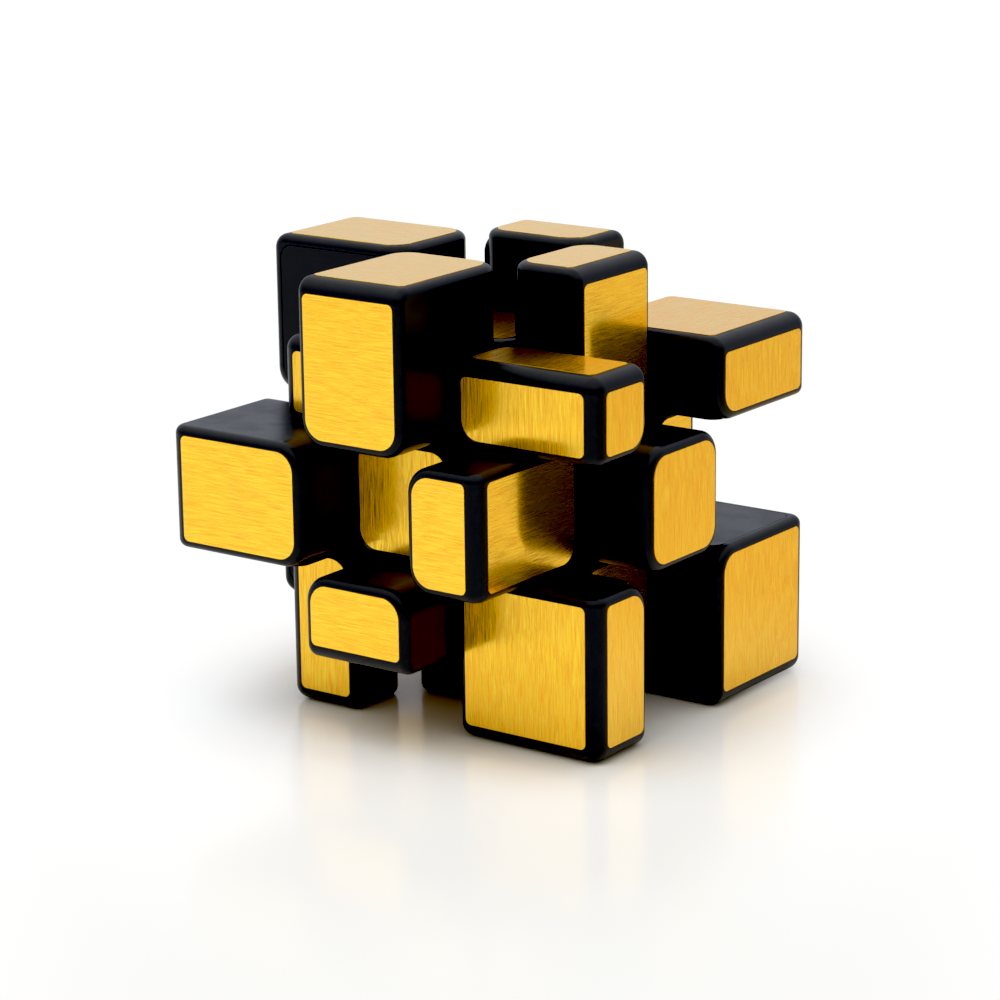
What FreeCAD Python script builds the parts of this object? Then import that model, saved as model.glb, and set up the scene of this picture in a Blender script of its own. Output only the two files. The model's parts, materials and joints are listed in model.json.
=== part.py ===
"""Mirror block cube: 26 foil-faced blocks that turn on a six-armed core.

Millimetres. The origin is the centre of the core, +Z is up, -Y is the front face and
+X is the right face.

Two cut planes per axis, half_slice from the core's centre, divide the outside of the
puzzle into centre, edge and corner blocks. Between the spheres rail_inner and
rail_outer the cut planes move in to half_stem, so each corner's foot hooks under its
edge blocks and each edge's foot hooks under its centre blocks. Every boundary is a
plane across a turning axis or a sphere round the core, so all six faces can turn.

Every block is a hollow shell, closed by a panel that carries its foot. A block's outer
faces lie thin_reach or thick_reach from the core's centre, and carry plates of foil.
"""
import FreeCAD, Part
import Sketcher
import os

DIMENSIONS = {
    # places of the cuts and of the outer faces, from the core's centre
    "half_slice": 9.5,
    "thin_reach": 22.5,
    "thick_reach": 34.5,
    # running clearances
    "side_gap": 0.1,
    "rail_gap": 0.1,
    "stem_gap": 0.1,
    # shells
    "wall": 1.5,
    "spine_round": 4.1,
    "ridge_round": 2.3,
    "outline_round": 1.3,
    "cavity_round": 2.2,
    "panel_seam": 0.08,
    # foil plates
    "foil_thickness": 0.1,
    "foil_margin": 1.4,
    "foil_ridge_margin": 2.35,
    "foil_spine_round": 3.0,
    "foil_round": 0.9,
    # rail and feet
    "rail_inner": 14.0,
    "rail_outer": 20.5,
    "half_stem": 5.5,
    "corner_neck_end": 14.0,
    "edge_neck_end": 17.5,
    "rib_start": 15.2,
    "rib_root": 4.0,
    # tension screws, springs and housings, along each arm
    "arm_radius": 4.5,
    "arm_end": 10.9,
    "arm_chamfer": 0.5,
    "hub_radius": 7.5,
    "stem_start": 11.0,
    "ledge": 13.0,
    "plug_start": 15.0,
    "bore_radius": 4.2,
    "shank_radius": 1.5,
    "shank_gap": 0.1,
    "thread_gap": 0.02,
    "screw_tip": 4.5,
    "pilot_bottom": 3.6,
    "washer_radius": 3.9,
    "washer_start": 17.5,
    "washer_thickness": 0.6,
    "head_radius": 2.9,
    "head_height": 1.9,
    "head_round": 0.6,
    "recess_length": 3.2,
    "recess_width": 0.8,
    "recess_depth": 1.1,
    "spring_mean_radius": 3.3,
    "wire_radius": 0.3,
    "spring_turns": 5,
    "spring_end_gap": 0.05,
}
AXES = "xyz"
NORMALS = {
    "up": (0, 0, 1),
    "down": (0, 0, -1),
    "front": (0, -1, 0),
    "back": (0, 1, 0),
    "left": (-1, 0, 0),
    "right": (1, 0, 0),
}
THIN_FACES = ("up", "front", "left")  # the faces whose centre block is a thin one
EDGES = [
    ("up", "front"), ("up", "left"), ("up", "back"), ("up", "right"),
    ("front", "left"), ("front", "right"), ("back", "right"), ("back", "left"),
    ("down", "front"), ("down", "left"), ("down", "back"), ("down", "right"),
]
CORNERS = [(z, y, x) for z in ("up", "down") for y in ("front", "back") for x in ("left", "right")]
BLOCK = "Dims.half_slice + Dims.side_gap"
SLICE = "Dims.half_slice - Dims.side_gap"
FOOT = "Dims.half_stem + Dims.stem_gap"
STEM = "Dims.half_stem - Dims.stem_gap"
TOLERANCE = 1e-3

doc = FreeCAD.newDocument("MirrorBlockCube")
sheet = doc.addObject("Spreadsheet::Sheet", "Dims")
for row, (alias, value) in enumerate(DIMENSIONS.items(), start=1):
    sheet.set(f"A{row}", alias)
    sheet.set(f"B{row}", str(value))
    sheet.setAlias(f"B{row}", alias)
doc.recompute()
nodes = []


def label_node(obj, name):
    """Make an object a sub-part: its Label names its file."""
    obj.Label = name
    nodes.append(obj)


def bind(obj, **expressions):
    """Bind properties of an object to expressions of the sheet's cells."""
    for prop, expression in expressions.items():
        obj.setExpression(prop, expression)


def bind_box(box, spans):
    """Bind a box to its (low, high) expressions on x, y and z."""
    for axis, size, (low, high) in zip(AXES, ("Length", "Width", "Height"), spans):
        box.setExpression(f"Placement.Base.{axis}", low)
        box.setExpression(size, f"({high}) - ({low})")


def bind_cylinder(cylinder, radius, low, high):
    """Bind an upright cylinder to its radius and its (low, high) heights."""
    bind(cylinder, Radius=radius, Height=f"({high}) - ({low})")
    cylinder.setExpression("Placement.Base.z", low)


def outward(sign, near, far, half):
    """(low, high) from near to far on the outward side, or +-half across a middle axis."""
    if sign > 0:
        return near, far
    if sign < 0:
        return f"-({far})", f"-({near})"
    return f"-({half})", half


def signs_of(faces):
    """Which side of the core a block lies on, along x, y and z."""
    return tuple(sum(NORMALS[face][k] for face in faces) for k in range(3))


def reaches_of(faces):
    """Distance of a block's outer face along each axis, None where it has none.

    Centres and corners are thin on THIN_FACES. Each edge block has changed places with
    the one opposite, so it is thick there and thin on the other three faces.
    """
    is_edge = len(faces) == 2
    reaches = [None, None, None]
    for face in faces:
        thin = (face in THIN_FACES) != is_edge
        axis = [abs(part) for part in NORMALS[face]].index(1)
        reaches[axis] = "Dims.thin_reach" if thin else "Dims.thick_reach"
    return reaches


def block_spans(faces, near, inset, half):
    """Spans of a box in a block, from near on the inside to inset below its outer faces."""
    return [
        outward(sign, near, f"{reach} - ({inset})", half)
        for sign, reach in zip(signs_of(faces), reaches_of(faces))
    ]


def box_edges(feature, limits, wanted):
    """Names of a feature's straight edges along a box's edges, where wanted(axis, sides).

    sides is -1 or 1 on the two axes across the edge, and 0 along it.
    """
    names = []
    for number, edge in enumerate(feature.Shape.Edges, start=1):
        ends = [vertex.Point for vertex in edge.Vertexes]
        if len(ends) != 2 or not isinstance(edge.Curve, Part.Line):
            continue
        run = [abs(ends[1][k] - ends[0][k]) for k in range(3)]
        axis = run.index(max(run))
        sides = [0, 0, 0]
        for k in range(3):
            low, high = limits[k]
            if k != axis and abs(ends[0][k] - low) < TOLERANCE:
                sides[k] = -1
            elif k != axis and abs(ends[0][k] - high) < TOLERANCE:
                sides[k] = 1
        if sides.count(0) == 1 and wanted(axis, sides):
            names.append(f"Edge{number}")
    return names


def limits_of(box):
    """A box's own (low, high) on each axis."""
    base = box.Placement.Base
    sizes = [float(box.Length), float(box.Width), float(box.Height)]
    return [(base[k], base[k] + sizes[k]) for k in range(3)]


def outward_count(signs, sides):
    """How many of an edge's two sides face outwards."""
    return sum(sign * side > 0 for sign, side in zip(signs, sides))


def rounded_box(name, spans, rounds):
    """A box in a body of its own, rounded by (radius, wanted) pairs in turn."""
    body = doc.addObject("PartDesign::Body", name)
    box = body.newObject("PartDesign::AdditiveBox", "Box")
    bind_box(box, spans)
    doc.recompute()
    limits = limits_of(box)
    feature = box
    for radius, wanted in rounds:
        names = box_edges(feature, limits, wanted)
        if names:
            fillet = body.newObject("PartDesign::Fillet", "Round")
            fillet.Base = (feature, names)
            bind(fillet, Radius=radius)
            doc.recompute()
            feature = fillet
    return body


def part_box(name, spans):
    """A box primitive."""
    box = doc.addObject("Part::Box", name)
    bind_box(box, spans)
    return box


def part_ball(name, radius):
    """A ball round the core's centre."""
    ball = doc.addObject("Part::Sphere", name)
    bind(ball, Radius=radius)
    return ball


def boolean(kind, name, shapes):
    """A MultiFuse or MultiCommon of several shapes."""
    result = doc.addObject(f"Part::{kind}", name)
    result.Shapes = shapes
    return result


def cut(name, base, tool):
    """One shape less another."""
    result = doc.addObject("Part::Cut", name)
    result.Base = base
    result.Tool = tool
    return result


def open_face(signs):
    """(axis, side) of the face where a block's shell is open.

    It looks at the core on a centre block, and at the middle layer on a corner block.
    """
    middle_axes = signs.count(0)
    if middle_axes == 2:
        axis = [abs(sign) for sign in signs].index(1)
    elif middle_axes == 1:
        axis = signs.index(0)
    else:
        axis = 2
    return axis, -signs[axis] or -1


def cavity_spans(faces, seam, face_end):
    """Spans of a block's cavity less a seam all round, with face_end at its open face."""
    signs = signs_of(faces)
    depth = f"Dims.wall + {seam}"
    spans = block_spans(
        faces, f"{BLOCK} + {depth}", f"Dims.foil_thickness + {depth}", f"{SLICE} - ({depth})"
    )
    axis, side = open_face(signs)
    if side < 0:
        spans[axis] = (face_end if signs[axis] > 0 else f"-({face_end})", spans[axis][1])
    else:
        spans[axis] = (spans[axis][0], f"-({face_end})")
    return spans


def block_shell(faces, name, clearance_ball):
    """The hollow cover of a block, open on one cut face and round the rail."""
    signs = signs_of(faces)
    rounds = [
        ("Dims.spine_round", lambda axis, sides: outward_count(signs, sides) == 0),
        ("Dims.ridge_round", lambda axis, sides: outward_count(signs, sides) == 2),
        ("Dims.outline_round", lambda axis, sides: outward_count(signs, sides) == 1),
    ]
    spans = block_spans(faces, BLOCK, "Dims.foil_thickness", SLICE)
    block = rounded_box(f"{name}_block", spans, rounds)
    open_axis = open_face(signs)[0]
    rounds = [("Dims.cavity_round", lambda axis, sides: axis == open_axis)]
    cavity = rounded_box(f"{name}_cavity", cavity_spans(faces, "0", "Dims.half_slice"), rounds)
    hollows = [cavity, clearance_ball]
    if len(faces) == 3:
        end = "Dims.corner_neck_end + Dims.panel_seam"
        hollows.append(part_box(f"{name}_seat", [outward(sign, "0", end, "0") for sign in signs]))
    label_node(cut(name, block, boolean("MultiFuse", f"{name}_hollow", hollows)), name)


def closing_panel(faces, name):
    """The panel that closes a block's shell, with rounded corners."""
    signs = signs_of(faces)
    axis, side = open_face(signs)
    spans = cavity_spans(faces, "Dims.panel_seam", BLOCK if signs[axis] else SLICE)
    low, high = spans[axis]
    if side < 0:
        spans[axis] = (low, f"{low} + Dims.wall")
    else:
        spans[axis] = (f"{high} - Dims.wall", high)
    rounds = [("Dims.cavity_round - Dims.panel_seam", lambda along, sides: along == axis)]
    return rounded_box(f"{name}_panel", spans, rounds)


def block_foot(faces, name, rail, clearance_ball):
    """A block's foot in the rail, with its neck and the panel that closes the shell."""
    signs = signs_of(faces)
    cell = part_box(f"{name}_cell", [outward(s, FOOT, "Dims.rail_outer", STEM) for s in signs])
    pad = boolean("MultiCommon", f"{name}_pad", [cell, rail])
    panel = cut(f"{name}_cut_panel", closing_panel(faces, name), clearance_ball)
    if len(faces) == 3:
        neck_spans = [outward(s, BLOCK, "Dims.corner_neck_end", STEM) for s in signs]
        pieces = [pad, panel, part_box(f"{name}_neck", neck_spans)]
    else:
        inside = f"{BLOCK} + Dims.wall + Dims.panel_seam"
        neck_spans = [outward(s, inside, "Dims.edge_neck_end", STEM) for s in signs]
        rib_spans = [outward(s, "Dims.rib_start", "Dims.edge_neck_end", STEM) for s in signs]
        rib_spans[open_face(signs)[0]] = (f"-({SLICE} - Dims.wall / 2)", "-Dims.rib_root")
        pieces = [pad, panel, part_box(f"{name}_neck", neck_spans), part_box(f"{name}_rib", rib_spans)]
    return boolean("MultiFuse", f"{name}_foot", pieces)


def foil_plate(faces, face, name):
    """The foil plate on one outer face of a block."""
    signs = signs_of(faces)
    reaches = reaches_of(faces)
    across = [abs(part) for part in NORMALS[face]].index(1)
    spans = [
        outward(sign, "Dims.half_slice + Dims.foil_margin", f"{reach} - Dims.foil_ridge_margin",
                "Dims.half_slice - Dims.foil_margin")
        for sign, reach in zip(signs, reaches)
    ]
    bottom = f"{reaches[across]} - Dims.foil_thickness"
    spans[across] = outward(signs[across], bottom, reaches[across], "0")
    in_plane = [0 if k == across else signs[k] for k in range(3)]
    rounds = [
        ("Dims.foil_spine_round",
         lambda axis, sides: axis == across and outward_count(in_plane, sides) == 0),
        ("Dims.foil_round",
         lambda axis, sides: axis == across and outward_count(in_plane, sides) > 0),
    ]
    return rounded_box(name, spans, rounds)


def group(name, members):
    """A sub-part made of several separate solids."""
    compound = doc.addObject("Part::Compound", name)
    compound.Links = members
    label_node(compound, name)


def face_turn(face):
    """The placement that turns +Z to a face's normal."""
    turn = FreeCAD.Rotation(FreeCAD.Vector(0, 0, 1), FreeCAD.Vector(*NORMALS[face]))
    return FreeCAD.Placement(FreeCAD.Vector(), turn)


def core_spider():
    """The core: a hub with six arms, and a pilot hole in each for its screw."""
    body = doc.addObject("PartDesign::Body", "core_spider")
    hub = body.newObject("PartDesign::AdditiveSphere", "Hub")
    bind(hub, Radius="Dims.hub_radius")
    for face in NORMALS:
        arm = body.newObject("PartDesign::AdditiveCylinder", f"Arm_{face}")
        bind(arm, Radius="Dims.arm_radius", Height="Dims.arm_end")
        arm.Placement = face_turn(face)
    doc.recompute()
    rims = []
    for number, edge in enumerate(arm.Shape.Edges, start=1):
        centre = edge.BoundBox.Center
        flat = min(edge.BoundBox.XLength, edge.BoundBox.YLength, edge.BoundBox.ZLength)
        if flat < TOLERANCE and abs(centre.Length - DIMENSIONS["arm_end"]) < TOLERANCE:
            rims.append(f"Edge{number}")
    chamfer = body.newObject("PartDesign::Chamfer", "ArmChamfers")
    chamfer.Base = (arm, rims)
    bind(chamfer, Size="Dims.arm_chamfer")
    doc.recompute()
    for face, normal in NORMALS.items():
        pilot = body.newObject("PartDesign::SubtractiveCylinder", f"Pilot_{face}")
        bind(pilot, Radius="Dims.shank_radius + Dims.thread_gap", Height="Dims.arm_end")
        pilot.Placement = face_turn(face)
        for axis, part in zip(AXES, normal):
            pilot.setExpression(f"Placement.Base.{axis}", f"{part} * Dims.pilot_bottom")
    doc.recompute()
    label_node(body, "core_spider")


def tension_screw(face):
    """A pan-head screw with a cross recess, seated on its washer."""
    body = doc.addObject("PartDesign::Body", f"screw_{face}")
    seat = "Dims.washer_start + Dims.washer_thickness"
    head = body.newObject("PartDesign::AdditiveCylinder", "Head")
    bind_cylinder(head, "Dims.head_radius", seat, f"{seat} + Dims.head_height")
    doc.recompute()
    top = max(range(len(head.Shape.Edges)), key=lambda k: head.Shape.Edges[k].CenterOfMass.z)
    crown = body.newObject("PartDesign::Fillet", "Crown")
    crown.Base = (head, [f"Edge{top + 1}"])
    bind(crown, Radius="Dims.head_round")
    shank = body.newObject("PartDesign::AdditiveCylinder", "Shank")
    bind_cylinder(shank, "Dims.shank_radius", "Dims.screw_tip", seat)
    half_sizes = ("Dims.recess_length / 2", "Dims.recess_width / 2")
    for half_x, half_y in (half_sizes, half_sizes[::-1]):
        slot = body.newObject("PartDesign::SubtractiveBox", "Recess")
        top_face = f"{seat} + Dims.head_height"
        bind_box(slot, [(f"-{half_x}", half_x), (f"-{half_y}", half_y),
                        (f"{top_face} - Dims.recess_depth", top_face)])
    body.Placement = face_turn(face)
    doc.recompute()
    return body


def screw_washer(face):
    """The washer between a screw's head and its spring."""
    body = doc.addObject("PartDesign::Body", f"washer_{face}")
    end = "Dims.washer_start + Dims.washer_thickness"
    disc = body.newObject("PartDesign::AdditiveCylinder", "Disc")
    bind_cylinder(disc, "Dims.washer_radius", "Dims.washer_start", end)
    hole = body.newObject("PartDesign::SubtractiveCylinder", "Hole")
    bind_cylinder(hole, "Dims.shank_radius + Dims.shank_gap", "Dims.washer_start", end)
    body.Placement = face_turn(face)
    return body


def tension_spring(face):
    """The compression spring between a housing's ledge and its washer."""
    name = f"{face}_spring"
    body = doc.addObject("PartDesign::Body", name)
    plane = [item for item in body.Origin.OriginFeatures if item.Role == "XZ_Plane"][0]
    sketch = body.newObject("Sketcher::SketchObject", "WireSection")
    sketch.AttachmentSupport = [(plane, "")]
    sketch.MapMode = "FlatFace"
    centre = FreeCAD.Vector(DIMENSIONS["spring_mean_radius"], DIMENSIONS["ledge"], 0)
    circle = sketch.addGeometry(Part.Circle(centre, FreeCAD.Vector(0, 0, 1), DIMENSIONS["wire_radius"]))
    across = sketch.addConstraint(Sketcher.Constraint("DistanceX", -1, 1, circle, 3, centre.x))
    height = sketch.addConstraint(Sketcher.Constraint("DistanceY", -1, 1, circle, 3, centre.y))
    radius = sketch.addConstraint(Sketcher.Constraint("Radius", circle, DIMENSIONS["wire_radius"]))
    start = "Dims.ledge + Dims.spring_end_gap + Dims.wire_radius"
    sketch.setExpression(f"Constraints[{across}]", "Dims.spring_mean_radius")
    sketch.setExpression(f"Constraints[{height}]", start)
    sketch.setExpression(f"Constraints[{radius}]", "Dims.wire_radius")
    doc.recompute()
    coil = body.newObject("PartDesign::AdditiveHelix", "Coil")
    coil.Profile = sketch
    coil.ReferenceAxis = (sketch, ["V_Axis"])
    coil.Mode = "height-turns-angle"
    bind(coil, Turns="Dims.spring_turns",
         Height=f"Dims.washer_start - Dims.spring_end_gap - Dims.wire_radius - ({start})")
    body.Placement = face_turn(face)
    doc.recompute()
    label_node(body, name)


def centre_housing(face):
    """The square stem and flange of a centre block, bored for its screw and spring."""
    name = f"{face}_centre_housing"
    top = "Dims.thin_reach - Dims.foil_thickness - Dims.wall - Dims.panel_seam"
    half_plug = f"{SLICE} - Dims.wall - Dims.panel_seam"
    spans = [(f"-({half_plug})", half_plug)] * 2 + [("Dims.plug_start", top)]
    rounds = [("Dims.cavity_round - Dims.panel_seam", lambda axis, sides: axis == 2)]
    body = rounded_box(name, spans, rounds)
    rail = body.newObject("PartDesign::SubtractiveSphere", "Rail")
    bind(rail, Radius="Dims.rail_outer + Dims.rail_gap")
    stem = body.newObject("PartDesign::AdditiveBox", "Stem")
    bind_box(stem, [(f"-({STEM})", STEM)] * 2 + [("Dims.stem_start", top)])
    bore = body.newObject("PartDesign::SubtractiveCylinder", "Bore")
    bind_cylinder(bore, "Dims.bore_radius", "Dims.ledge", top)
    hole = body.newObject("PartDesign::SubtractiveCylinder", "Hole")
    bind_cylinder(hole, "Dims.shank_radius + Dims.shank_gap", "Dims.stem_start", "Dims.ledge")
    body.Placement = face_turn(face)
    doc.recompute()
    label_node(body, name)


def layer_of(faces):
    """The layer that a block belongs to: up, middle or down."""
    return faces[0] if faces[0] in ("up", "down") else "middle"


def main():
    """Build every sub-part."""
    outer_ball = part_ball("RailOuter", "Dims.rail_outer - Dims.rail_gap")
    rail = cut("Rail", outer_ball, part_ball("RailInner", "Dims.rail_inner + Dims.rail_gap"))
    clearance_ball = part_ball("RailClearance", "Dims.rail_outer + Dims.rail_gap")
    for kind, blocks in (("edge", EDGES), ("corner", CORNERS)):
        feet = {}
        foils = {}
        for faces in blocks:
            block_name = "_".join(faces) + f"_{kind}"
            layer = layer_of(faces)
            block_shell(faces, f"{block_name}_shell", clearance_ball)
            feet.setdefault(layer, []).append(block_foot(faces, block_name, rail, clearance_ball))
            for face in faces:
                plate = foil_plate(faces, face, f"{block_name}_{face}_foil")
                foils.setdefault(layer, []).append(plate)
        for layer in feet:
            group(f"{layer}_{kind}_feet", feet[layer])
            group(f"{layer}_{kind}_foils", foils[layer])
    core_spider()
    for face in NORMALS:
        block_shell((face,), f"{face}_centre_cap", clearance_ball)
        centre_housing(face)
        tension_spring(face)
        foil_name = f"{face}_centre_foil"
        label_node(foil_plate((face,), face, foil_name), foil_name)
    group("tension_screws", [tension_screw(face) for face in NORMALS])
    group("screw_washers", [screw_washer(face) for face in NORMALS])
    doc.recompute()


def check_and_export():
    """Stop on a failed object or a bad shape, then write one file per sub-part."""
    for obj in doc.Objects:
        if "Invalid" in obj.State or "Error" in obj.State:
            raise RuntimeError(f"{obj.Label} failed: {obj.State}")
    for node in nodes:
        if node.Shape.isNull() or not node.Shape.isValid():
            raise RuntimeError(f"{node.Label} has a bad shape")
    os.makedirs("parts", exist_ok=True)
    for node in nodes:
        node.Shape.exportStep(f"parts/{node.Label}.step")


main()
check_and_export()
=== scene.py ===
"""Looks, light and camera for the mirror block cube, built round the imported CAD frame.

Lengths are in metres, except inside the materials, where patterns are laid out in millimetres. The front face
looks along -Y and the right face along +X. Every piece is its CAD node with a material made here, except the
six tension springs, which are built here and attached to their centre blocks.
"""

import json
import math

import bpy
from mathutils import Matrix, Vector


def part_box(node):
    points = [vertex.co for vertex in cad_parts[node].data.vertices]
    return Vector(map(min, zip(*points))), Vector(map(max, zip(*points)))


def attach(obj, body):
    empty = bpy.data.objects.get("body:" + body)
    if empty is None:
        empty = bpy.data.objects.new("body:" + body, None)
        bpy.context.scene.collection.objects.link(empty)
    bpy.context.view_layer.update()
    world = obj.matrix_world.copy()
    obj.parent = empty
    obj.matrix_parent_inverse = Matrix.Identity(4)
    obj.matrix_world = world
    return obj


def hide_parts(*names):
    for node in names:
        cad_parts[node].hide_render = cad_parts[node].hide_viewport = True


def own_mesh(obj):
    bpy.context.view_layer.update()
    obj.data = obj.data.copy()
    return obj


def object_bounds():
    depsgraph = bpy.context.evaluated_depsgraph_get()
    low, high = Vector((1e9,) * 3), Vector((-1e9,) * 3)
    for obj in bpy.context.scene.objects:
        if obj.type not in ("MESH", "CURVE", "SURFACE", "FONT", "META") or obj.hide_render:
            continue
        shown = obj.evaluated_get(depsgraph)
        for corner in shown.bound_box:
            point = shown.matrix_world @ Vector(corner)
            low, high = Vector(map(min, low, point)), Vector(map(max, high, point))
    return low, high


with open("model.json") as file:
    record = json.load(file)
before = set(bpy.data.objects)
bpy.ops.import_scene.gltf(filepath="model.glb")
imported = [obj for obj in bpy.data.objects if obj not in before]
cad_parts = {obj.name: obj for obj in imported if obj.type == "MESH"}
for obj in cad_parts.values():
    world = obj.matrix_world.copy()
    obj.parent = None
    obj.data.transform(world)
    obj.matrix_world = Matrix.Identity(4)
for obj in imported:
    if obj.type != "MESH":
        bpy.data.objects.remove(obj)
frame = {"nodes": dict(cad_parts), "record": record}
cad_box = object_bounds()
MM = 0.001
FACES = {
    "up": Vector((0, 0, 1)),
    "down": Vector((0, 0, -1)),
    "front": Vector((0, -1, 0)),
    "back": Vector((0, 1, 0)),
    "left": Vector((-1, 0, 0)),
    "right": Vector((1, 0, 0)),
}

# Springs
SPRING_TURNS = 5
SPRING_WIRE_RADIUS = 0.3 * MM
SPRING_END_PITCH = 0.7 * MM
SPRING_END_TURNS = 0.75
STEPS_PER_TURN = 48
WIRE_SIDES = 14

# Camera: azimuth 0 is in front, and 90 on the right
CAMERA_AZIMUTH = math.radians(36.18)
CAMERA_ELEVATION = math.radians(14.98)
CAMERA_ROLL = math.radians(-0.70)
CAMERA_DISTANCE = 499.6 * MM
CAMERA_SHIFT = (0.98 * MM, -4.62 * MM)
CAMERA_CLIP_START = 10 * MM
FOCAL_LENGTH = 118.8
SENSOR_WIDTH = 36.0
TO_THE_RIGHT = (math.cos(CAMERA_AZIMUTH), math.sin(CAMERA_AZIMUTH), 0.0)
TO_THE_CAMERA = (math.sin(CAMERA_AZIMUTH), -math.cos(CAMERA_AZIMUTH), 0.0)
BEHIND_RIGHT = (math.sin(CAMERA_AZIMUTH), math.cos(CAMERA_AZIMUTH), 0.0)

# View: linear levels shown as black, for each channel, and as white
BLACK_LEVELS = (0.0242, 0.0241, 0.0234)
WHITE_LEVEL = 0.985

# Floor: each span is where a share starts and where it is complete, in metres unless it says otherwise
FLOOR_RADIUS = 0.9
FLOOR_RINGS = 24
FLOOR_SEGMENTS = 96
FLOOR_FADE_RADII = (0.066, 0.115)
FLOOR_FADE_CENTRE = 0.02
FLOOR_FADE_SPAN = (0.5, 1.05)  # in shares of the fade radii
# Where the painted shade on the floor in front of the object starts and ends
FRONT_SPAN = (0.03, 0.08)
FRONT_END_SPAN = (0.26, 0.15)
FRONT_SIDE_SPAN = (0.03, 0.08)
# Painted warm light on the floor behind and to the right, seen only by rays other than the camera's
WARM_LIGHT_SPAN = (0.03, 0.10)
# Painted shade: the floor turns to a warm dark colour where ambient occlusion finds the object close by
PAINTED_SHADE_DISTANCE = 0.016
PAINTED_SHADE_POWER = 0.8
PAINTED_SHADE_SAMPLES = 8
FLOOR_DIM = (0.80, 0.80, 0.785, 1)
FLOOR_BRIGHT = (0.82, 0.82, 0.805, 1)
# Colour of the painted warm shade on the floor close to the object
FLOOR_PAINTED_SHADE = (0.46, 0.37, 0.19, 1)
# Painted shade: for the camera the floor in front of the object is greyer
FLOOR_FRONT_PAINTED_SHADE = (0.70, 0.70, 0.68, 1)
# Colour of the painted warm light on the floor
FLOOR_PAINTED_WARM_LIGHT = (0.70, 0.59, 0.39, 1)
FADE_WHITE = (1.0, 1.0, 1.0, 1)
# Painted shade: the white that the floor fades to is greyer in front
FADE_FRONT_PAINTED_SHADE = (0.945, 0.945, 0.93, 1)

# Light
LAMP_DISTANCE = 0.6
SKY_SPAN = (0.25, 0.9)  # sine of the elevation
SKY_HIGH = (1.4, 1.4, 1.4, 1)
SKY_LOW_BEHIND = (0.70, 0.75, 0.85, 1)
SKY_LOW_FRONT = (0.71, 0.71, 0.72, 1)
SKY_FRONT_SPAN = (-0.3, 0.6)  # cosine of the angle from the camera's side
BACKDROP = (1.0, 1.0, 1.0, 1)

# Plastic
PLASTIC_COLOUR = (0.0045, 0.0044, 0.0048, 1)
RUBBED_COLOUR = (0.016, 0.017, 0.018, 1)
SPECK_COLOUR = (0.09, 0.09, 0.085, 1)
PLASTIC_REFLECTION = (0.94, 0.96, 1.0, 1)
PLASTIC_IOR = 1.35

# Foil, with the values of upright brushing first and of level brushing second where they differ
FOIL_SHARP = (1.0, 0.69, 0.050, 1)
FOIL_WIDE = (0.97, 0.46, 0.034, 1)
# Painted glints: a pale colour mixed into short streaks of the foil
FOIL_PAINTED_GLINT = (1.0, 0.76, 0.32, 1)
FOIL_METALLIC = 0.95
COAT_WEIGHT = 0.4
COAT_ROUGHNESS = 0.12
GRAIN_SPAN = ((0.40, 0.54), (0.44, 0.58))
GRAIN_ROUGHNESS = ((0.12, 0.36), (0.10, 0.27))
GRAIN_BANDING = (0.35, 0.2)
FINE_LENGTH = (7.0, 12.0)
SIDE_SHADE = (0.08, 0.045)
TOP_SHADE = 0.03


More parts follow.
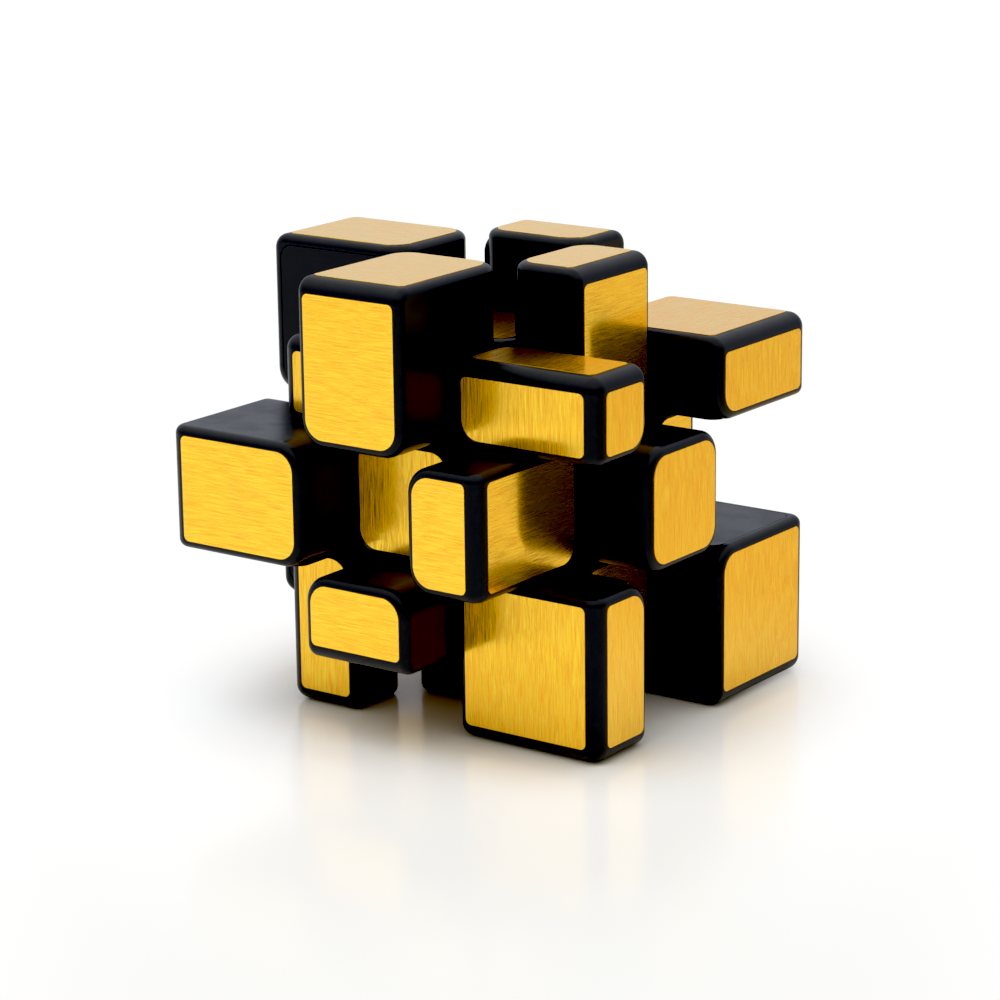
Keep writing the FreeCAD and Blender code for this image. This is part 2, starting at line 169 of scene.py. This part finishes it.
# ---------------------------------------------------------------------------------------------- node graphs
class Graph:
    """A node tree, with one short call for each kind of node."""

    def __init__(self, tree):
        self.tree = tree
        self.tree.nodes.clear()

    def node(self, kind, **settings):
        made = self.tree.nodes.new(kind)
        for key, value in settings.items():
            setattr(made, key, value)
        return made

    def put(self, socket, value):
        """Links value to the socket if it is a socket, and sets it as the socket's value if it is not."""
        if isinstance(value, bpy.types.NodeSocket):
            self.tree.links.new(value, socket)
        else:
            socket.default_value = value

    def math(self, operation, a, b=0.0):
        made = self.node("ShaderNodeMath", operation=operation)
        self.put(made.inputs[0], a)
        self.put(made.inputs[1], b)
        return made.outputs[0]

    def times(self, a, b):
        return self.math("MULTIPLY", a, b)

    def one_minus(self, value):
        return self.math("SUBTRACT", 1.0, value)

    def vector(self, operation, a, b=(0.0, 0.0, 0.0)):
        made = self.node("ShaderNodeVectorMath", operation=operation)
        self.put(made.inputs[0], a)
        self.put(made.inputs[1], b)
        return made.outputs["Value" if operation in ("DOT_PRODUCT", "LENGTH") else "Vector"]

    def dot(self, a, b):
        return self.vector("DOT_PRODUCT", a, b)

    def cross(self, a, b):
        return self.vector("CROSS_PRODUCT", a, b)

    def scaled(self, vector, factor):
        made = self.node("ShaderNodeVectorMath", operation="SCALE")
        self.put(made.inputs[0], vector)
        self.put(made.inputs["Scale"], factor)
        return made.outputs["Vector"]

    def rotated(self, vector, axis, angle):
        made = self.node("ShaderNodeVectorRotate", rotation_type="AXIS_ANGLE")
        self.put(made.inputs["Vector"], vector)
        made.inputs["Axis"].default_value = axis
        made.inputs["Angle"].default_value = angle
        return made.outputs["Vector"]

    def separate(self, vector):
        made = self.node("ShaderNodeSeparateXYZ")
        self.put(made.inputs[0], vector)
        return made.outputs

    def combine(self, x, y, z):
        made = self.node("ShaderNodeCombineXYZ")
        for socket, value in zip(made.inputs, (x, y, z)):
            self.put(socket, value)
        return made.outputs[0]

    def mix(self, factor, a, b):
        """A vector between a, at factor 0, and b, at factor 1."""
        made = self.node("ShaderNodeMix", data_type="VECTOR")
        self.put(made.inputs[0], factor)
        self.put(made.inputs[4], a)
        self.put(made.inputs[5], b)
        return made.outputs[1]

    def colour(self, factor, a, b):
        """A colour between a, at factor 0, and b, at factor 1."""
        made = self.node("ShaderNodeMix", data_type="RGBA")
        self.put(made.inputs[0], factor)
        self.put(made.inputs[6], a)
        self.put(made.inputs[7], b)
        return made.outputs[2]

    def shader(self, factor, a, b):
        """A shader between a, at factor 0, and b, at factor 1."""
        made = self.node("ShaderNodeMixShader")
        for socket, value in zip(made.inputs, (factor, a, b)):
            self.put(socket, value)
        return made.outputs[0]

    def remap(self, value, low, high, to_low=0.0, to_high=1.0, smooth=False):
        """Value moved from the range low to high to the range to_low to to_high, and kept inside it."""
        made = self.node("ShaderNodeMapRange", interpolation_type="SMOOTHSTEP" if smooth else "LINEAR")
        self.put(made.inputs[0], value)
        for socket, number in zip(made.inputs[1:5], (low, high, to_low, to_high)):
            self.put(socket, number)
        return made.outputs[0]

    def noise(self, coordinates, scale, detail=2.0, roughness=0.5):
        made = self.node("ShaderNodeTexNoise")
        self.put(made.inputs["Vector"], coordinates)
        made.inputs["Scale"].default_value = scale
        made.inputs["Detail"].default_value = detail
        made.inputs["Roughness"].default_value = roughness
        return made.outputs["Fac"]

    def noise_vector(self, coordinates, scale, size):
        """A smooth random offset of up to about size on each axis."""
        made = self.node("ShaderNodeTexNoise")
        self.put(made.inputs["Vector"], coordinates)
        made.inputs["Scale"].default_value = scale
        made.inputs["Detail"].default_value = 1.0
        centred = self.vector("SUBTRACT", made.outputs["Color"], (0.5, 0.5, 0.5))
        return self.scaled(centred, 2 * size)

    def cells(self, coordinates, scale):
        """Distance to the nearest of a cloud of random points, and that point's random colour."""
        made = self.node("ShaderNodeTexVoronoi")
        self.put(made.inputs["Vector"], coordinates)
        made.inputs["Scale"].default_value = scale
        made.inputs["Randomness"].default_value = 1.0
        return made.outputs["Distance"], made.outputs["Color"]

    def place(self):
        """The point's place in the piece's own axes, in metres. It stays with the piece in every pose."""
        return self.node("ShaderNodeTexCoord").outputs["Object"]

    def millimetres(self):
        """The same place in millimetres."""
        return self.scaled(self.place(), 1 / MM)

    def geometry(self, output):
        return self.node("ShaderNodeNewGeometry").outputs[output]

    def camera_ray(self):
        return self.node("ShaderNodeLightPath").outputs["Is Camera Ray"]

    def turned(self, vector, kind, convert_from, convert_to):
        """A vector changed from one set of axes to another."""
        settings = {"vector_type": kind, "convert_from": convert_from, "convert_to": convert_to}
        turn = self.node("ShaderNodeVectorTransform", **settings)
        self.put(turn.inputs[0], vector)
        return turn.outputs[0]

    def normal(self):
        """The surface normal in the piece's own axes."""
        return self.turned(self.geometry("Normal"), "NORMAL", "WORLD", "OBJECT")

    def bump(self, height, depth, below=None):
        """The normal of a relief depth millimetres deep, on top of the relief below."""
        made = self.node("ShaderNodeBump")
        self.put(made.inputs["Height"], height)
        made.inputs["Strength"].default_value = 1.0
        made.inputs["Distance"].default_value = depth * MM
        if below is not None:
            self.put(made.inputs["Normal"], below)
        return made.outputs["Normal"]

    def principled(self, **sockets):
        """A Principled shader with the sockets given, where _ stands for a space in a socket's name."""
        made = self.node("ShaderNodeBsdfPrincipled")
        for name, value in sockets.items():
            self.put(made.inputs[name.replace("_", " ")], value)
        return made.outputs["BSDF"]

    def surface(self, kind, shader):
        """Ends the tree with an output node of that kind, which shows the shader."""
        self.put(self.node(kind).inputs["Surface"], shader)


def new_material(name):
    """An empty material and the graph that fills it."""
    material = bpy.data.materials.new(name)
    material.use_nodes = True
    return material, Graph(material.node_tree)


def edge_share(graph):
    """0 on a flat face that looks along an axis, rising to 1 in the middle of a rounded edge."""
    size = graph.separate(graph.vector("ABSOLUTE", graph.normal()))
    largest = graph.math("MAXIMUM", graph.math("MAXIMUM", size[0], size[1]), size[2])
    return graph.remap(largest, 0.995, 0.72, smooth=True)


def hairlines(graph, place, axis, angle, length, width, share):
    """Thin straight scratches, length by width millimetres, in patches. More share gives more patches."""
    turned = graph.rotated(place, axis, angle)
    stretched = graph.vector("MULTIPLY", turned, (1 / length, 1 / width, 1 / width))
    line = graph.remap(graph.noise(stretched, 1.0, 1.0), 0.70, 0.78)
    patch = graph.remap(graph.noise(turned, 0.11, 1.0), 1.0 - share, 1.0 - share + 0.1)
    return graph.times(line, patch)


# ---------------------------------------------------------------------------------------------- materials
def black_plastic():
    """Moulded plastic, nearly black, with faint flow waves, hairlines, specks of dust and rubbed edges."""
    material, graph = new_material("black_plastic")
    place = graph.millimetres()
    first = hairlines(graph, place, axis=(0.3, 0.5, 0.8), angle=0.7, length=9.0, width=0.07, share=0.42)
    second = hairlines(graph, place, axis=(0.8, -0.4, 0.3), angle=2.1, length=6.0, width=0.06, share=0.40)
    scratch = graph.math("MAXIMUM", first, second)
    smudge = graph.remap(graph.noise(place, 0.16, 4.0, 0.6), 0.42, 0.68, smooth=True)
    distance, tone = graph.cells(place, 0.55)
    chosen = graph.math("GREATER_THAN", graph.separate(tone)[0], 0.86)
    speck = graph.times(graph.remap(distance, 0.035, 0.015), chosen)
    rub = graph.times(edge_share(graph), graph.remap(graph.noise(place, 0.9, 5.0, 0.7), 0.45, 0.75))
    colour = graph.colour(graph.times(rub, 0.35), PLASTIC_COLOUR, RUBBED_COLOUR)
    colour = graph.colour(graph.times(speck, 0.35), colour, SPECK_COLOUR)
    roughness = graph.math("ADD", graph.remap(smudge, 0, 1, 0.30, 0.37), graph.times(scratch, 0.16))
    roughness = graph.math("ADD", roughness, graph.times(rub, 0.09))
    waves = graph.bump(graph.noise(place, 0.22, 2.0), 0.02)
    grain = graph.bump(graph.noise(place, 5.0, 3.0), 0.0007, waves)
    shader = graph.principled(
        Base_Color=colour,
        Roughness=roughness,
        IOR=PLASTIC_IOR,
        Specular_Tint=PLASTIC_REFLECTION,
        Normal=graph.bump(graph.one_minus(scratch), 0.0006, grain),
    )
    graph.surface("ShaderNodeOutputMaterial", shader)
    return material


def streaks(graph, place, brush, length, width, detail):
    """Noise drawn out along the brush, in streaks of about length by width millimetres."""
    along = graph.times(graph.dot(place, brush), 1 - width / length)
    squeezed = graph.vector("SUBTRACT", place, graph.scaled(brush, along))
    return graph.noise(squeezed, 1 / width, detail, 0.6)


def brushed_foil(name, upright):
    """Gold-coloured brushed film under a thin clear coat.

    Upright brushing runs along Z on the side faces and along Y on the top and bottom. Level brushing runs
    round the object on the side faces and along X on the top and bottom. A very fine grain mixes a sharp
    reflection with a wider, redder one, and the fine streaks lean the mix one way or the other.
    """
    material, graph = new_material(name)
    kind = 0 if upright else 1
    place = graph.millimetres()
    normal = graph.normal()
    flat = graph.math("GREATER_THAN", graph.math("ABSOLUTE", graph.separate(normal)[2]), 0.7)
    side_brush = (0.0, 0.0, 1.0) if upright else graph.cross(normal, (0.0, 0.0, 1.0))
    top_brush = (0.0, 1.0, 0.0) if upright else (1.0, 0.0, 0.0)
    brush = graph.mix(flat, side_brush, top_brush)
    across = graph.vector("NORMALIZE", graph.cross(normal, brush))
    bent = graph.vector("ADD", place, graph.noise_vector(place, scale=0.07, size=0.1))

    fine = streaks(graph, bent, brush, length=FINE_LENGTH[kind], width=0.22, detail=1.0)
    broad = streaks(graph, bent, brush, length=22.0, width=0.8, detail=2.0)
    painted_glint = graph.remap(streaks(graph, bent, brush, length=3.0, width=0.22, detail=1.0), 0.66, 0.82)
    lean = graph.times(graph.math("SUBTRACT", fine, 0.5), GRAIN_BANDING[kind])
    hairs = streaks(graph, bent, brush, length=4.0, width=0.024, detail=0.0)
    grain = graph.remap(graph.math("ADD", hairs, lean), *GRAIN_SPAN[kind])
    tone = graph.math("ADD", graph.times(fine, 0.7), graph.times(broad, 0.3))

    strength = graph.remap(flat, 0.0, 1.0, SIDE_SHADE[kind], TOP_SHADE)
    shadow = graph.one_minus(graph.remap(tone, 0.34, 0.66))
    colour = graph.colour(grain, FOIL_SHARP, FOIL_WIDE)
    colour = graph.scaled(colour, graph.one_minus(graph.times(strength, shadow)))
    # Painted glints: pale short streaks in the foil's colour
    colour = graph.colour(graph.times(painted_glint, 0.25), colour, FOIL_PAINTED_GLINT)
    roughness = graph.remap(grain, 0.0, 1.0, *GRAIN_ROUGHNESS[kind])
    ripple = graph.bump(graph.noise(place, 0.25, 1.0), 0.005)
    shader = graph.principled(
        Base_Color=colour,
        Metallic=FOIL_METALLIC,
        Roughness=graph.times(roughness, graph.remap(fine, 0.3, 0.7, 0.96, 1.04)),
        Anisotropic=1.0,
        Tangent=graph.turned(across, "VECTOR", "OBJECT", "WORLD"),
        Normal=graph.bump(tone, 0.0006, ripple),
        Coat_Weight=COAT_WEIGHT,
        Coat_Roughness=COAT_ROUGHNESS,
        Coat_Normal=ripple,
    )
    graph.surface("ShaderNodeOutputMaterial", shader)
    return material


def core_nylon():
    """Unpolished nylon of the core: off-white, with a fine moulding grain and a little grey dust in it."""
    material, graph = new_material("core_nylon")
    place = graph.millimetres()
    cloud = graph.noise(place, 0.18, 4.0, 0.6)
    dust = graph.remap(graph.noise(place, 2.2, 5.0, 0.7), 0.52, 0.78)
    colour = graph.colour(graph.remap(cloud, 0.3, 0.7), (0.70, 0.70, 0.66, 1), (0.80, 0.80, 0.77, 1))
    colour = graph.colour(graph.times(dust, 0.3), colour, (0.33, 0.32, 0.30, 1))
    shader = graph.principled(
        Base_Color=colour,
        Roughness=graph.remap(cloud, 0.3, 0.7, 0.45, 0.6),
        IOR=1.53,
        Subsurface_Weight=0.15,
        Subsurface_Radius=(0.9 * MM, 0.8 * MM, 0.7 * MM),
        Subsurface_Scale=1.0,
        Normal=graph.bump(graph.noise(place, 6.0, 4.0), 0.004),
    )
    graph.surface("ShaderNodeOutputMaterial", shader)
    return material


def drawn_wire():
    """Spring steel wire, with fine drawing marks and a thin film of grease in patches."""
    material, graph = new_material("drawn_wire")
    place = graph.millimetres()
    marks = graph.noise(graph.vector("MULTIPLY", place, (1.0, 1.0, 9.0)), 1.6, 3.0)
    grease = graph.remap(graph.noise(place, 0.8, 3.0), 0.48, 0.62, smooth=True)
    colour = graph.colour(graph.remap(marks, 0.3, 0.7), (0.42, 0.43, 0.45, 1), (0.66, 0.66, 0.67, 1))
    shader = graph.principled(
        Base_Color=colour,
        Metallic=1.0,
        Roughness=graph.remap(marks, 0.3, 0.7, 0.24, 0.38),
        Coat_Weight=graph.times(grease, 0.6),
        Coat_Roughness=0.15,
        Normal=graph.bump(marks, 0.004),
    )
    graph.surface("ShaderNodeOutputMaterial", shader)
    return material


def zinc_plate():
    """Zinc-plated steel of the screws and washers: bright, with a pale blue cast and dull patches."""
    material, graph = new_material("zinc_plate")
    place = graph.millimetres()
    distance, tone = graph.cells(graph.vector("ADD", place, graph.noise_vector(place, 1.0, 0.3)), 1.3)
    spangle = graph.separate(tone)[0]
    dull = graph.remap(graph.noise(place, 0.5, 4.0), 0.4, 0.65, smooth=True)
    colour = graph.colour(spangle, (0.58, 0.60, 0.64, 1), (0.74, 0.76, 0.78, 1))
    colour = graph.colour(graph.times(dull, 0.4), colour, (0.45, 0.45, 0.44, 1))
    relief = graph.math("ADD", graph.noise(place, 4.0, 3.0), graph.times(distance, 0.2))
    shader = graph.principled(
        Base_Color=colour,
        Metallic=1.0,
        Roughness=graph.remap(dull, 0, 1, 0.2, 0.36),
        Normal=graph.bump(relief, 0.003),
    )
    graph.surface("ShaderNodeOutputMaterial", shader)
    return material


def front_shade_share(graph, sideways, nearer):
    """Where painted shade lies on the floor for the camera: 1 in the middle of the floor in front of the
    object, falling to 0 at its sides and both its ends.
    """
    aside = graph.remap(graph.math("ABSOLUTE", sideways), *FRONT_SIDE_SPAN, smooth=True)
    share = graph.times(graph.remap(nearer, *FRONT_SPAN, smooth=True), graph.one_minus(aside))
    return graph.times(graph.remap(nearer, *FRONT_END_SPAN, smooth=True), share)


def fade_share(graph, sideways, nearer):
    """0 near the object, rising to 1 outside an oval whose centre is a little in front of it."""
    ahead = graph.math("SUBTRACT", nearer, FLOOR_FADE_CENTRE)
    shares = [graph.math("DIVIDE", way, radius) for way, radius in zip((sideways, ahead), FLOOR_FADE_RADII)]
    return graph.remap(graph.vector("LENGTH", graph.combine(*shares, 0.0)), *FLOOR_FADE_SPAN, smooth=True)


def pale_floor():
    """A pale, slightly glossy board, with painted warm shade close to the object, and transparent from below.

    For the camera it has painted shade in front, where it is greyer, and fades to the white backdrop. For
    every other ray it doesn't fade, and has painted warm light on a patch behind and to the right of the
    object, which the right-hand foils mirror.
    """
    material, graph = new_material("pale_floor")
    place = graph.place()
    mist = graph.noise(graph.scaled(place, 1 / MM), 0.05, 3.0)
    sideways = graph.dot(place, TO_THE_RIGHT)
    nearer = graph.dot(place, TO_THE_CAMERA)
    front = front_shade_share(graph, sideways, nearer)
    camera_ray = graph.camera_ray()
    warm_light_share = graph.remap(graph.dot(place, BEHIND_RIGHT), *WARM_LIGHT_SPAN, smooth=True)

    # Painted shade: the board is warm and dark where ambient occlusion finds the object close by
    shade_probe = graph.node("ShaderNodeAmbientOcclusion", samples=PAINTED_SHADE_SAMPLES)
    shade_probe.inputs["Distance"].default_value = PAINTED_SHADE_DISTANCE
    unshaded_share = graph.math("POWER", shade_probe.outputs["AO"], PAINTED_SHADE_POWER)
    pale = graph.colour(mist, FLOOR_DIM, FLOOR_BRIGHT)
    # Painted warm light: the floor behind and to the right is warm for every ray but the camera's, so the
    # right-hand foils mirror it
    pale = graph.colour(graph.times(warm_light_share, graph.one_minus(camera_ray)), pale, FLOOR_PAINTED_WARM_LIGHT)
    # Painted shade: the floor in front is greyer, for the camera only
    pale = graph.colour(graph.times(front, camera_ray), pale, FLOOR_FRONT_PAINTED_SHADE)
    board = graph.principled(
        Base_Color=graph.colour(unshaded_share, FLOOR_PAINTED_SHADE, pale),
        Roughness=graph.remap(mist, 0.3, 0.7, 0.16, 0.20),
        IOR=1.4,
    )
    white = graph.node("ShaderNodeEmission")
    # Painted shade: the white that the floor fades to is greyer in front
    graph.put(white.inputs["Color"], graph.colour(front, FADE_WHITE, FADE_FRONT_PAINTED_SHADE))
    fade = graph.times(fade_share(graph, sideways, nearer), camera_ray)
    faded = graph.shader(fade, board, white.outputs[0])
    clear = graph.node("ShaderNodeBsdfTransparent").outputs[0]
    graph.surface("ShaderNodeOutputMaterial", graph.shader(graph.geometry("Backfacing"), faded, clear))
    return material


def finish_cad_nodes():
    """Gives each CAD node the material of its slot in the record. Foils are brushed by the kind of block."""
    plain = {
        "black_plastic": black_plastic(),
        "core_plastic": core_nylon(),
        "spring_steel": drawn_wire(),
        "screw_steel": zinc_plate(),
    }
    round_the_object = brushed_foil("brushed_foil_level", upright=False)
    up_and_down = brushed_foil("brushed_foil_upright", upright=True)
    for row in frame["record"]["subparts"]:
        node = frame["nodes"][row["node"]]
        if row["material_slot"] == "gold_foil":
            material = round_the_object if "edge" in row["node"] else up_and_down
        else:
            material = plain[row["material_slot"]]
        node.data.materials.clear()
        node.data.materials.append(material)
    return plain


# ---------------------------------------------------------------------------------------------- springs
def coil_heights(length):
    """How far along the spring the wire's centre is after each step. The end turns are closer together."""
    free_turns = SPRING_TURNS - 2 * SPRING_END_TURNS
    middle_pitch = (length - 2 * SPRING_END_TURNS * SPRING_END_PITCH) / free_turns
    heights = [0.0]
    for step in range(SPRING_TURNS * STEPS_PER_TURN):
        turn = (step + 0.5) / STEPS_PER_TURN
        at_end = turn < SPRING_END_TURNS or turn > SPRING_TURNS - SPRING_END_TURNS
        heights.append(heights[-1] + (SPRING_END_PITCH if at_end else middle_pitch) / STEPS_PER_TURN)
    return heights


def spring_mesh(name, base, normal, length, mean_radius):
    """A round wire wound about normal, from base outwards."""
    side = normal.orthogonal().normalized()
    other = normal.cross(side)
    wire = SPRING_WIRE_RADIUS
    points = []
    for step, height in enumerate(coil_heights(length - 2 * wire)):
        angle = 2 * math.pi * step / STEPS_PER_TURN
        outward = side * math.cos(angle) + other * math.sin(angle)
        centre = base + outward * mean_radius + normal * (wire + height)
        for corner in range(WIRE_SIDES):
            turn = 2 * math.pi * corner / WIRE_SIDES
            points.append(centre + (outward * math.cos(turn) + normal * math.sin(turn)) * wire)
    rings = len(points) // WIRE_SIDES
    faces = [tuple(range(WIRE_SIDES))[::-1], tuple(range((rings - 1) * WIRE_SIDES, rings * WIRE_SIDES))]
    for ring in range(rings - 1):
        for corner in range(WIRE_SIDES):
            a = ring * WIRE_SIDES + corner
            b = ring * WIRE_SIDES + (corner + 1) % WIRE_SIDES
            faces.append((a, b, b + WIRE_SIDES, a + WIRE_SIDES))
    mesh = bpy.data.meshes.new(name)
    mesh.from_pydata([tuple(p) for p in points], [], faces)
    mesh.validate()
    mesh.shade_smooth()
    return mesh


def build_springs(wire_material):
    """The six tension springs, each between its housing's ledge and its screw's washer."""
    for face, normal in FACES.items():
        low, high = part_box(f"{face}_spring")
        inner, outer = sorted((low.dot(normal), high.dot(normal)))
        outer_diameter = max(high - low)
        name = f"{face}_tension_spring"
        base = normal * inner
        mean_radius = outer_diameter / 2 - SPRING_WIRE_RADIUS
        mesh = spring_mesh(name, base, normal, outer - inner, mean_radius)
        mesh.materials.append(wire_material)
        spring = bpy.data.objects.new(name, mesh)
        bpy.context.scene.collection.objects.link(spring)
        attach(spring, f"{face}_centre_block")
        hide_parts(f"{face}_spring")
        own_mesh(spring)


# ---------------------------------------------------------------------------------------------- stage
def build_floor():
    """A disc of rings round the object, at its lowest point. The rings are closer near the middle."""
    level = cad_box[0].z
    points = [(0.0, 0.0, level)]
    for ring in range(1, FLOOR_RINGS + 1):
        radius = FLOOR_RADIUS * (ring / FLOOR_RINGS) ** 2
        for segment in range(FLOOR_SEGMENTS):
            angle = 2 * math.pi * segment / FLOOR_SEGMENTS
            points.append((radius * math.cos(angle), radius * math.sin(angle), level))
    faces = [(0, 1 + s, 1 + (s + 1) % FLOOR_SEGMENTS) for s in range(FLOOR_SEGMENTS)]
    for ring in range(FLOOR_RINGS - 1):
        start = 1 + ring * FLOOR_SEGMENTS
        for segment in range(FLOOR_SEGMENTS):
            a = start + segment
            b = start + (segment + 1) % FLOOR_SEGMENTS
            faces.append((a, a + FLOOR_SEGMENTS, b + FLOOR_SEGMENTS, b))
    mesh = bpy.data.meshes.new("floor")
    mesh.from_pydata(points, [], faces)
    mesh.materials.append(pale_floor())
    floor = bpy.data.objects.new("floor", mesh)
    bpy.context.scene.collection.objects.link(floor)


def away(azimuth, elevation):
    """The direction from the origin at an azimuth, where 0 is in front and 90 degrees on the right."""
    level = math.cos(elevation)
    return Vector((math.sin(azimuth) * level, -math.cos(azimuth) * level, math.sin(elevation)))


def soft_lamp(name, azimuth, elevation, size, power, tint=(1.0, 1.0, 1.0)):
    """A large square lamp that looks at the origin and isn't seen in reflections."""
    back = away(math.radians(azimuth), math.radians(elevation))
    data = bpy.data.lights.new(name, "AREA")
    data.shape = "SQUARE"
    data.size = size
    data.energy = power
    data.color = tint
    lamp = bpy.data.objects.new(name, data)
    lamp.location = back * LAMP_DISTANCE
    lamp.rotation_euler = (-back).to_track_quat("-Z", "Y").to_euler()
    lamp.visible_glossy = False
    bpy.context.scene.collection.objects.link(lamp)


def build_world():
    """A white backdrop for the camera. For every other ray, a bright sky over a horizon that is dimmer, and
    cooler behind the object than in front of it.
    """
    world = bpy.data.worlds.new("studio")
    bpy.context.scene.world = world
    world.use_nodes = True
    graph = Graph(world.node_tree)
    direction = graph.node("ShaderNodeTexCoord").outputs["Generated"]
    height = graph.remap(graph.separate(direction)[2], *SKY_SPAN, smooth=True)
    facing = graph.remap(graph.dot(direction, TO_THE_CAMERA), *SKY_FRONT_SPAN)
    low = graph.colour(facing, SKY_LOW_BEHIND, SKY_LOW_FRONT)
    ambient = graph.node("ShaderNodeBackground")
    graph.put(ambient.inputs["Color"], graph.colour(height, low, SKY_HIGH))
    backdrop = graph.node("ShaderNodeBackground")
    graph.put(backdrop.inputs["Color"], BACKDROP)
    shader = graph.shader(graph.camera_ray(), ambient.outputs[0], backdrop.outputs[0])
    graph.surface("ShaderNodeOutputWorld", shader)


def build_lamps():
    """A soft key from the front left, and a weak warm fill from behind on the right."""
    soft_lamp("key", azimuth=-30, elevation=65, size=0.55, power=1.6)
    soft_lamp("fill", azimuth=140, elevation=60, size=0.5, power=0.3, tint=(1.0, 0.8, 0.6))


def build_camera():
    """The camera, turned about the object's centre and shifted in its own plane."""
    back = away(CAMERA_AZIMUTH, CAMERA_ELEVATION)
    level_right = Vector(TO_THE_RIGHT)
    level_up = back.cross(level_right)
    right = level_right * math.cos(CAMERA_ROLL) + level_up * math.sin(CAMERA_ROLL)
    up = level_up * math.cos(CAMERA_ROLL) - level_right * math.sin(CAMERA_ROLL)
    data = bpy.data.cameras.new("camera")
    data.lens = FOCAL_LENGTH
    data.sensor_width = SENSOR_WIDTH
    data.clip_start = CAMERA_CLIP_START
    camera = bpy.data.objects.new("camera", data)
    place = right * CAMERA_SHIFT[0] + up * CAMERA_SHIFT[1] + back * CAMERA_DISTANCE
    camera.matrix_world = Matrix.Translation(place) @ Matrix((right, up, back)).transposed().to_4x4()
    bpy.context.scene.collection.objects.link(camera)
    bpy.context.scene.camera = camera


def build_view():
    """Colours are shown as they are, so the backdrop is white, but the deepest shades are held at black."""
    view = bpy.context.scene.view_settings
    view.view_transform = "Standard"
    view.look = "None"
    view.use_curve_mapping = True
    view.curve_mapping.black_level = BLACK_LEVELS
    view.curve_mapping.white_level = (WHITE_LEVEL, WHITE_LEVEL, WHITE_LEVEL)
    view.curve_mapping.update()


materials = finish_cad_nodes()
build_springs(materials["spring_steel"])
build_floor()
build_world()
build_lamps()
build_camera()
build_view()
